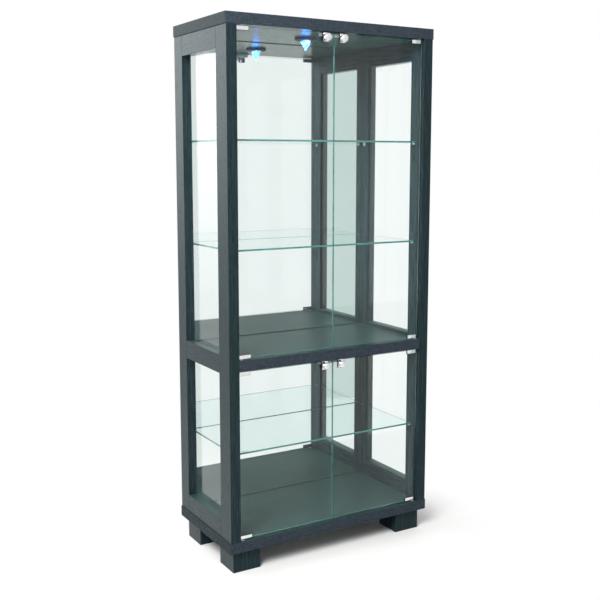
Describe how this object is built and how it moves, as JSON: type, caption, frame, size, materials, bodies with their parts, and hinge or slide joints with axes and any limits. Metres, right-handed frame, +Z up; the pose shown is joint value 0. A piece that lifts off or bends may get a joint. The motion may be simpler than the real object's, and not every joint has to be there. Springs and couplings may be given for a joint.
{
  "type": "glass display showcase",
  "caption": "Tall free-standing display cabinet with black veneered boards, framed glass sides, mirror back, glass shelves, inset pivoting glass doors and a crystal ceiling lamp.",
  "frame": {"origin": "on the floor, below the middle of the whole outline, knobs included", "axes": "+X to the right of a person facing the doors, +Y to the back, +Z up"},
  "size_m": [0.8, 0.41, 1.8],
  "materials": {
    "black_veneer": "satin lacquer over open-grain veneer, stained black",
    "clear_glass": "clear float glass, polished edges",
    "mirror_glass": "silvered mirror",
    "backing_board": "black faced hardboard",
    "polished_metal": "polished chrome plate",
    "clear_plastic": "clear moulded plastic",
    "grey_plastic": "light grey moulded plastic",
    "dark_metal": "dark satin paint",
    "lamp_crystal": "cut crystal",
    "black_rubber": "matt"
  },
  "bodies": {
    "cabinet": {"bottom_board": "black_veneer", "middle_board": "black_veneer", "top_board": "black_veneer", "front_left_foot": "black_veneer", "front_right_foot": "black_veneer", "rear_left_foot": "black_veneer", "rear_right_foot": "black_veneer", "left_front_stile": "black_veneer", "left_rear_stile": "black_veneer", "left_top_rail": "black_veneer", "left_middle_rail": "black_veneer", "left_bottom_rail": "black_veneer", "left_upper_pane": "clear_glass", "left_lower_pane": "clear_glass", "right_front_stile": "black_veneer", "right_rear_stile": "black_veneer", "right_top_rail": "black_veneer", "right_middle_rail": "black_veneer", "right_bottom_rail": "black_veneer", "right_upper_pane": "clear_glass", "right_lower_pane": "clear_glass", "back_panel": "backing_board", "upper_mirror": "mirror_glass", "lower_mirror": "mirror_glass", "upper_shelf": "clear_glass", "upper_shelf_front_left_pin": "clear_plastic", "upper_shelf_front_right_pin": "clear_plastic", "upper_shelf_rear_left_pin": "clear_plastic", "upper_shelf_rear_right_pin": "clear_plastic", "middle_shelf": "clear_glass", "middle_shelf_front_left_pin": "clear_plastic", "middle_shelf_front_right_pin": "clear_plastic", "middle_shelf_rear_left_pin": "clear_plastic", "middle_shelf_rear_right_pin": "clear_plastic", "lower_shelf": "clear_glass", "lower_shelf_front_left_pin": "clear_plastic", "lower_shelf_front_right_pin": "clear_plastic", "lower_shelf_rear_left_pin": "clear_plastic", "lower_shelf_rear_right_pin": "clear_plastic", "upper_catch": "grey_plastic", "lower_catch": "grey_plastic", "lamp_body": "dark_metal", "lamp_crystal": "lamp_crystal", "lead_grommet": "black_rubber"},
    "upper_left_door": {"upper_left_door_glass": "clear_glass", "upper_left_door_top_clamp": "polished_metal", "upper_left_door_bottom_clamp": "polished_metal", "upper_left_door_pull": "polished_metal"},
    "upper_right_door": {"upper_right_door_glass": "clear_glass", "upper_right_door_top_clamp": "polished_metal", "upper_right_door_bottom_clamp": "polished_metal", "upper_right_door_pull": "polished_metal"},
    "lower_left_door": {"lower_left_door_glass": "clear_glass", "lower_left_door_top_clamp": "polished_metal", "lower_left_door_bottom_clamp": "polished_metal", "lower_left_door_pull": "polished_metal"},
    "lower_right_door": {"lower_right_door_glass": "clear_glass", "lower_right_door_top_clamp": "polished_metal", "lower_right_door_bottom_clamp": "polished_metal", "lower_right_door_pull": "polished_metal"}
  },
  "joints": [
    {"name": "upper_left_door_hinge", "type": "hinge", "parent": "cabinet", "child": "upper_left_door", "pos_m": [-0.349, -0.1805, 0.716], "axis": [0, 0, -1], "range_deg": [0, 105]},
    {"name": "upper_right_door_hinge", "type": "hinge", "parent": "cabinet", "child": "upper_right_door", "pos_m": [0.349, -0.1805, 0.716], "axis": [0, 0, 1], "range_deg": [0, 105]},
    {"name": "lower_left_door_hinge", "type": "hinge", "parent": "cabinet", "child": "lower_left_door", "pos_m": [-0.349, -0.1805, 0.111], "axis": [0, 0, -1], "range_deg": [0, 105]},
    {"name": "lower_right_door_hinge", "type": "hinge", "parent": "cabinet", "child": "lower_right_door", "pos_m": [0.349, -0.1805, 0.111], "axis": [0, 0, 1], "range_deg": [0, 105]}
  ]
}
